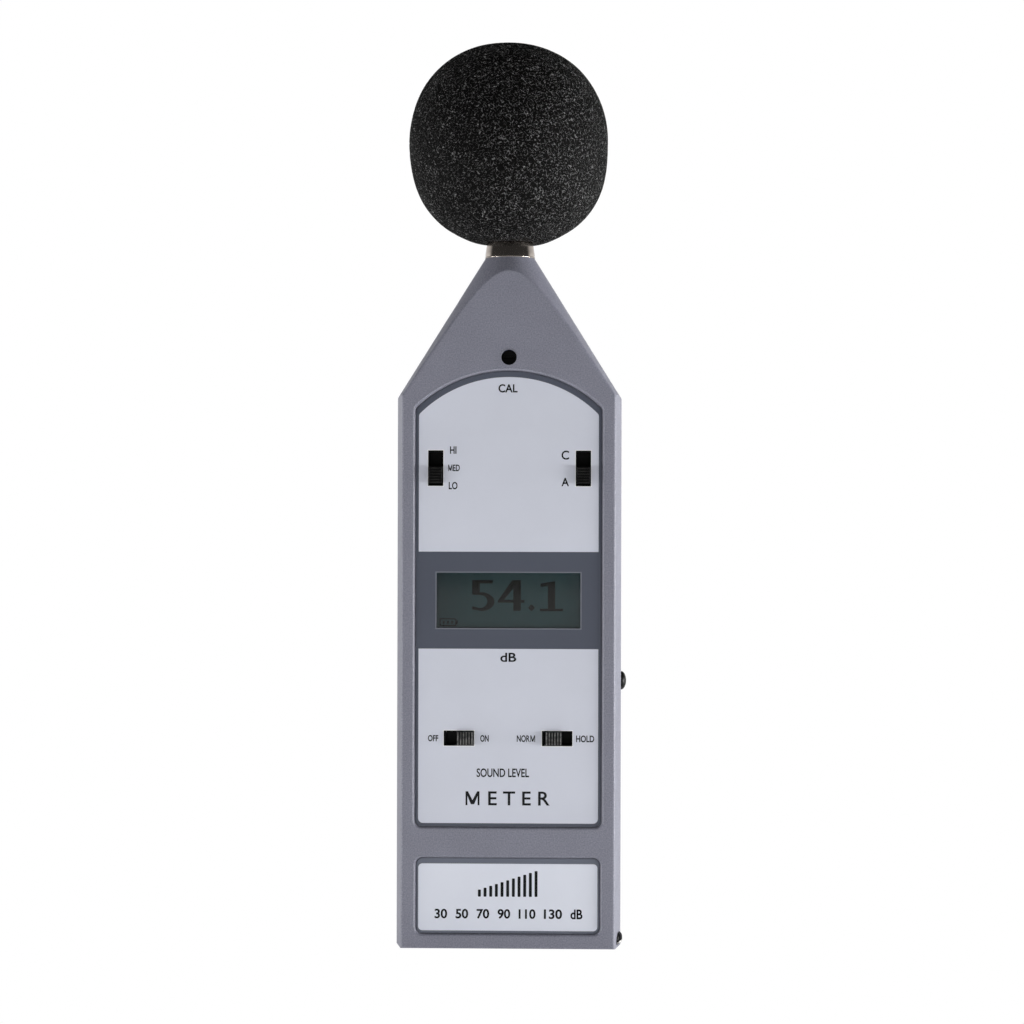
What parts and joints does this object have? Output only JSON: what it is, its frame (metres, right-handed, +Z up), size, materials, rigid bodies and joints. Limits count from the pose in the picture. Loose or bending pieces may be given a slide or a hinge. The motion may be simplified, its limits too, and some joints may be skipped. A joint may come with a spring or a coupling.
{
  "type": "sound level meter",
  "caption": "Hand-held sound level meter with a tapered case, foam windscreen over the microphone, liquid crystal display, slide switches, side button and battery door.",
  "frame": {"origin": "centre of the flat bottom end, on the microphone's axis", "axes": "+Z up along the meter towards the microphone, -Y out of the front face, +X to the right seen from the front"},
  "size_m": [0.0717, 0.0624, 0.2813],
  "materials": {
    "housing": "fine satin moulded ABS, blue-grey",
    "panel": "screen-printed polycarbonate sheet, dark blue-grey with light fields",
    "plate": "satin white printed plate",
    "window": "clear acrylic",
    "lcd": "grey-green liquid crystal glass with polariser",
    "black_plastic": "black moulded plastic",
    "white_plastic": "white moulded plastic",
    "label": "silver-grey printed label",
    "board": "green solder resist on glass-epoxy",
    "component_black": "moulded epoxy",
    "component_blue": "printed sleeve",
    "component_tan": "resistor lacquer with colour bands",
    "trimmer": "blue moulded plastic",
    "nickel": "polished nickel plate",
    "steel": "zinc-plated steel",
    "brass": "machined brass",
    "foam": "open-cell polyurethane foam, black",
    "pad": "grey foam strip",
    "rubber": "silicone connector and wire insulation",
    "battery_case": "printed film jacket"
  },
  "bodies": {
    "meter": {"battery": "battery_case", "battery_leads": "rubber", "battery_pad": "pad", "battery_snap": "black_plastic", "battery_terminals": "nickel", "board_screws": "steel", "capacitors": "component_blue", "case_screws": "steel", "display_window": "window", "front_overlay": "panel", "front_shell": "housing", "integrated_circuits": "component_black", "lcd_frame": "black_plastic", "lcd_glass": "lcd", "main_board": "board", "mic_backplate": "steel", "mic_capsule": "nickel", "mic_diaphragm": "nickel", "mic_grid": "nickel", "mic_insulator": "white_plastic", "mode_switch_body": "black_plastic", "name_plate": "plate", "neck_collar": "nickel", "power_switch_body": "black_plastic", "preamp_board": "board", "preamp_tube": "nickel", "range_switch_body": "black_plastic", "rating_label": "label", "rear_shell": "housing", "reset_switch": "component_black", "resistors": "component_tan", "strap_loop": "nickel", "trimmer_body": "trimmer", "tripod_insert": "brass", "weighting_switch_body": "black_plastic", "zebra_strips": "rubber"},
    "range_slider": {"range_switch_knob": "black_plastic"},
    "weighting_slider": {"weighting_switch_knob": "black_plastic"},
    "power_slider": {"power_switch_knob": "black_plastic"},
    "mode_slider": {"mode_switch_knob": "black_plastic"},
    "trimmer": {"trimmer_rotor": "black_plastic"},
    "button": {"reset_button": "black_plastic", "reset_plunger": "white_plastic"},
    "door": {"battery_door": "housing"},
    "foam": {"windscreen": "foam"}
  },
  "joints": [
    {"name": "range_slide", "type": "slide", "parent": "meter", "child": "range_slider", "axis": [0, 0, 1], "range_m": [0, 0.0042]},
    {"name": "weighting_slide", "type": "slide", "parent": "meter", "child": "weighting_slider", "axis": [0, 0, 1], "range_m": [0, 0.0042]},
    {"name": "power_slide", "type": "slide", "parent": "meter", "child": "power_slider", "axis": [1, 0, 0], "range_m": [-0.003, 0]},
    {"name": "mode_slide", "type": "slide", "parent": "meter", "child": "mode_slider", "axis": [1, 0, 0], "range_m": [0, 0.003]},
    {"name": "calibration_turn", "type": "hinge", "parent": "meter", "child": "trimmer", "pos_m": [0, -0.0064, 0.1827], "axis": [0, 1, 0], "range_deg": [-135, 135]},
    {"name": "button_press", "type": "slide", "parent": "meter", "child": "button", "axis": [-1, 0, 0], "range_m": [0, 0.001], "stiffness_N_per_m": 400, "springref_m": -0.0005},
    {"name": "door_slide", "type": "slide", "parent": "meter", "child": "door", "axis": [0, 0, -1], "range_m": [0, 0.025]},
    {"name": "windscreen_pull", "type": "slide", "parent": "meter", "child": "foam", "axis": [0, 0, 1], "range_m": [0, 0.045]}
  ]
}
